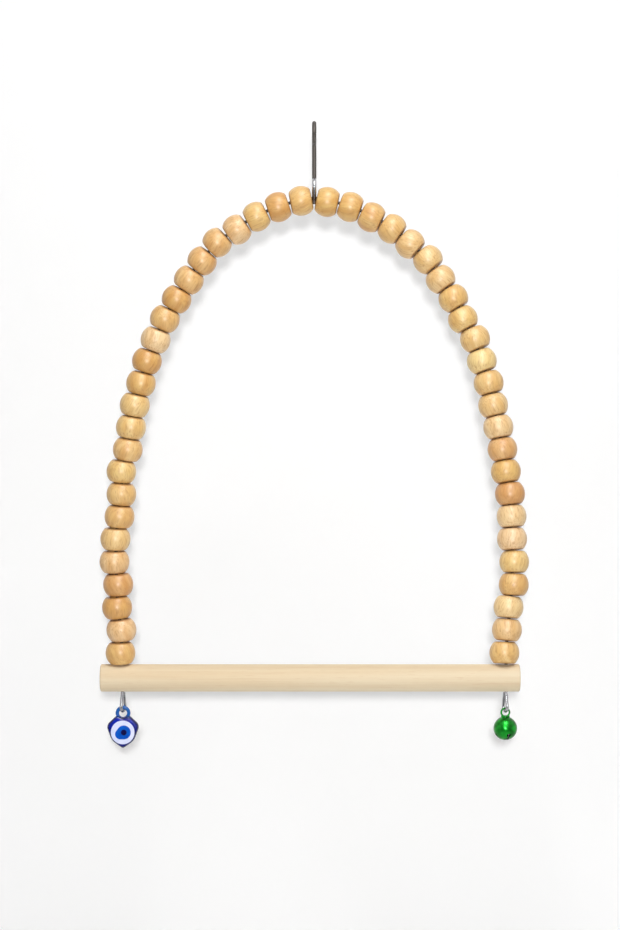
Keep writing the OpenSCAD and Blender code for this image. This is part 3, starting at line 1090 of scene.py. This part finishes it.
@dataclass
class HeartCharm:
    """The glass heart with its eyelet."""

    glass: HeartGlass = HeartGlass()
    eyelet_radius: float = 2.5 * MM
    eyelet_bar: float = 1.6 * MM
    thickness: float = 4.0 * MM
    edge: float = 1.3 * MM
    belly: float = 5.9 * MM
    belly_drop: float = 8.3 * MM
    neck: float = 1.3 * MM
    neck_x: float = 2.5 * MM
    neck_drop: float = 2.5 * MM
    lobe: float = 3.0 * MM
    lobe_x: float = 3.9 * MM
    lobe_drop: float = 6.1 * MM
    point: float = 1.3 * MM
    point_drop: float = 13.9 * MM
    trim: float = 0.006 * MM
    around: int = 160
    hull_parts: int = 1440
    least_facing: float = 1e-3
    face_shares: tuple[float, ...] = (0.0, 0.4, 0.75, 0.95, 1.0)
    edge_parts: int = 7
    bar_parts: int = 28
    ring_parts: int = 64

    def outline(self, ways: np.ndarray) -> np.ndarray:
        """Distance from the belly's middle to the heart's edge.

        Each half is the hull of four circles: neck, lobe, belly and point. A ray leaves a hull at the
        least of h(n) / (n . way) over all normals n, where h(n) is the hull's reach along n. The heart
        takes the farther half.

        Args:
            ways: Unit vectors in x and z, one row each.

        Returns:
            One distance for each way.
        """
        turn = np.linspace(0, 2 * np.pi, self.hull_parts, endpoint=False)
        normals = np.stack([np.sin(turn), np.cos(turn)], axis=1)
        facing = ways @ normals.T
        reaches = []
        for side in (-1.0, 1.0):
            middles = np.array([
                [side * self.neck_x, self.belly_drop - self.neck_drop],
                [side * self.lobe_x, self.belly_drop - self.lobe_drop],
                [0.0, 0.0],
                [0.0, self.belly_drop - self.point_drop],
            ])
            hull = (normals @ middles.T + [self.neck, self.lobe, self.belly, self.point]).max(axis=1)
            share = hull / np.maximum(facing, self.least_facing)
            reaches.append(np.where(facing > self.least_facing, share, np.inf).min(axis=1))
        return np.maximum(*reaches)

    def build(self) -> None:
        """Build heart and eyelet where their solid is.

        From the front's middle to the back's middle, a point's share of the outline and its depth follow
        a flat face, a quarter round, the straight edge, a second quarter round and the flat back.
        """
        low, high = (np.array(corner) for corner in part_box("charm_heart"))
        middle = (low + high) / 2
        eyelet = np.array([middle[0], middle[1], high[2] - self.eyelet_radius - self.eyelet_bar / 2])
        turn = np.linspace(0, 2 * np.pi, self.around, endpoint=False)
        ways = np.stack([np.sin(turn), np.cos(turn)], axis=1)
        reach = self.outline(ways)[None, :] - self.edge - self.trim
        face = np.array(self.face_shares)
        bend = np.linspace(0, np.pi / 2, self.edge_parts + 1)[1:]
        half = self.thickness / 2 - self.edge
        shares = np.concatenate([face, np.ones(2 * len(bend)), face[::-1]])[:, None]
        flat = np.zeros(len(face))
        outs = np.concatenate([flat, np.sin(bend), np.cos(bend - bend[0]), flat]) * self.edge
        front = -half - self.edge * np.concatenate([flat + 1, np.cos(bend)])
        depths = np.concatenate([front, -front[::-1]])
        far = shares * reach + outs[:, None]
        points = np.empty((*far.shape, 3))
        points[..., 0] = middle[0] + far * ways[:, 0]
        points[..., 1] = middle[1] + depths[:, None]
        points[..., 2] = eyelet[2] - self.belly_drop + far * ways[:, 1]
        heart = grid_surface(points, False, True)
        bar = arc((self.eyelet_radius, 0.0), self.eyelet_bar / 2, 0.0, 2 * math.pi, self.bar_parts)[:-1]
        ring = revolved(bar, eyelet, np.array([0.0, 1.0, 0.0]), self.ring_parts)
        # The edge attribute rises to 1 on the rounded edge and places the glass's painted shade there.
        rim = np.repeat(outs / self.edge, self.around)
        extras = {"edge": np.concatenate([rim, np.zeros(len(ring.points))])}
        piece = Piece("fused_heart", "charm", "charm_blue", "charm_heart", self.glass.make(), extras=extras)
        piece.build(heart, ring)


def dress_solid(frame: dict[str, Any], node: str, material: Material) -> None:
    """Give a solid that keeps its mesh a better material.

    Args:
        frame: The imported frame.
        node: The solid's name.
        material: Its finish.
    """
    for slot in frame["nodes"][node].material_slots:
        slot.material = material
    LOG.info("%s keeps its solid", node)


@dataclass
class Perch:
    """The round perch, which keeps its solid."""

    wood: PerchWood = PerchWood()

    def dress(self, frame: dict[str, Any]) -> None:
        """Finish the perch as bare wood."""
        dress_solid(frame, "perch_dowel", self.wood.make())


@dataclass
class CharmEye:
    """The eye's glass layers let into the heart, which keep their solids."""

    white: Glass = Glass("charm_white", paint(224, 228, 252), paint(206, 213, 246))
    iris: Glass = Glass("charm_iris", paint(0, 94, 206), paint(0, 70, 176))
    pupil: Glass = Glass("charm_pupil", paint(8, 6, 84), paint(2, 0, 50))

    def dress(self, frame: dict[str, Any]) -> None:
        """Finish the three layers as coloured glass.

        Args:
            frame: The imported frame.
        """
        dress_solid(frame, "charm_eye_white", self.white.make())
        dress_solid(frame, "charm_eye_iris", self.iris.make())
        dress_solid(frame, "charm_eye_pupil", self.pupil.make())


@dataclass
class JingleBell:
    """The bell's shell, ear and loose ball, which keep their solids."""

    lacquer: Lacquer = Lacquer()
    ball: Steel = Steel("clapper_steel")

    def dress(self, frame: dict[str, Any]) -> None:
        """Finish shell and ear in green lacquer and the ball in steel.

        Args:
            frame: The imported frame.
        """
        green = self.lacquer.make()
        dress_solid(frame, "bell_shell", green)
        dress_solid(frame, "bell_ear", green)
        dress_solid(frame, "bell_clapper", self.ball.make())


@dataclass(frozen=True)
class Lamp:
    """A rectangular lamp: where it is, its width and height, and its power in watts."""

    name: str
    place: Triple
    size: Pair
    power: float
    use: LampUse = LampUse.LIGHT

    def build(self, target: Triple) -> None:
        """Hang the lamp.

        Args:
            target: The point that it faces.
        """
        data = bpy.data.lights.new(self.name, "AREA")
        data.shape = "RECTANGLE"
        data.size, data.size_y = self.size
        data.energy = self.power
        made = bpy.data.objects.new(self.name, data)
        made.visible_diffuse = self.use is LampUse.LIGHT
        made.location = self.place
        away = Vector(target) - Vector(self.place)
        made.rotation_euler = away.to_track_quat("-Z", "Y").to_euler()
        bpy.context.scene.collection.objects.link(made)


@dataclass
class Studio:
    """White paper behind the swing, lamps before and above it, and a camera square to its front."""

    paper: Paper = Paper()
    dark: DarkCloth = DarkCloth()
    lamps: tuple[Lamp, ...] = (
        Lamp("front", (0.0, -1.1, -0.12), (0.025, 0.025), 6.1),
        Lamp("key", (0.1, -0.53, 0.62), (0.4, 0.5), 6.1),
        Lamp("card", (0.05, -1.3, 0.48), (1.3, 0.45), 5.5, LampUse.CARD),
        Lamp("low_card", (0.15, -1.3, -0.42), (0.5, 0.25), 1.2, LampUse.CARD),
    )
    even_light: float = 0.06
    distance: float = 1.0
    view_height: float = 409.2 * MM
    sensor: float = 36.0
    centre_x: float = -1.85 * MM
    centre_z: float = -149.4 * MM
    wall: float = 200 * MM
    floor: float = -430 * MM
    cove: float = 120 * MM
    cove_parts: int = 16
    paper_half: float = 0.55
    paper_top: float = 0.7
    paper_front: float = -0.6
    cloth_half: float = 1.6
    cloth_near: float = -0.3
    cloth_far: float = -1.5
    cloth_top: float = 1.0
    cloth_lift: float = 5 * MM

    def sheet(self, name: str, line: np.ndarray, half: float, material: Material) -> bpy.types.Object:
        """Carry a line of depths and heights along X.

        Args:
            name: The sheet's name.
            line: Rows of depth and height.
            half: Half of its width.
            material: Its finish.

        Returns:
            The sheet.
        """
        points = np.empty((len(line), 2, 3))
        points[..., 0] = half, -half
        points[..., 1:] = line[:, None]
        skin = grid_surface(points, False, False)
        mesh = bpy.data.meshes.new(name)
        mesh.from_pydata(skin.points.tolist(), [], skin.quads.tolist())
        mesh.polygons.foreach_set("use_smooth", np.ones(len(mesh.polygons), dtype=bool))
        mesh.materials.append(material)
        made = bpy.data.objects.new(name, mesh)
        bpy.context.scene.collection.objects.link(made)
        return made

    def backdrop(self) -> None:
        """Hang the paper as wall, cove and floor."""
        middle = (self.wall - self.cove, self.floor + self.cove)
        cove = arc(middle, self.cove, 0.0, -math.pi / 2, self.cove_parts)
        line = np.concatenate([[[self.wall, self.paper_top]], cove, [[self.paper_front, self.floor]]])
        self.sheet("backdrop", line, self.paper_half, self.paper.make())

    def cloth(self) -> None:
        """Lay the dark cloth before the swing and hang it behind the camera, for reflections only."""
        low = self.floor + self.cloth_lift
        line = np.array([[self.cloth_near, low], [self.cloth_far, low], [self.cloth_far, self.cloth_top]])
        made = self.sheet("dark_cloth", line, self.cloth_half, self.dark.make())
        made.visible_camera = False
        made.visible_diffuse = False
        made.visible_transmission = False
        made.visible_shadow = False

    def world(self) -> None:
        """Light everything evenly from a world that is white to the eye and in gloss."""
        g = Graph(bpy.data.worlds.new("studio"))
        light = self.even_light + g.seen() * (1.0 - self.even_light)
        white = g.node("ShaderNodeBackground", {}, {"Color": opaque(WHITE), "Strength": light})
        g.node("ShaderNodeOutputWorld", {}, {"Surface": g.out(white)})
        bpy.context.scene.world = g.owner

    def camera(self) -> None:
        """Set the camera square to the front, so that the view's height fits the picture."""
        data = bpy.data.cameras.new("front")
        data.sensor_width = self.sensor
        data.lens = self.sensor * self.distance / self.view_height
        made = bpy.data.objects.new("front", data)
        made.location = (self.centre_x, -self.distance, self.centre_z)
        made.rotation_euler = (math.pi / 2, 0.0, 0.0)
        bpy.context.scene.collection.objects.link(made)
        bpy.context.scene.camera = made
        bpy.context.scene.view_settings.view_transform = "Standard"

    def build(self) -> None:
        """Set up camera, paper, cloth, lamps and world."""
        self.camera()
        self.backdrop()
        self.cloth()
        for lamp in self.lamps:
            lamp.build((0.0, 0.0, self.centre_z))
            LOG.info("lamp %s for %s", lamp.name, lamp.use.value)
        self.world()


def main() -> None:
    """Build the studio and the swing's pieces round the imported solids."""
    logging.basicConfig(level=logging.INFO)
    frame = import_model()
    Studio().build()
    beads = BeadString()
    beads.build(frame)
    arch = ArchWire(beads)
    arch.build()
    HangingHook(arch).build()
    Perch().dress(frame)
    HeartCharm().build()
    CharmEye().dress(frame)
    JingleBell().dress(frame)


if __name__ == "__main__":
    main()
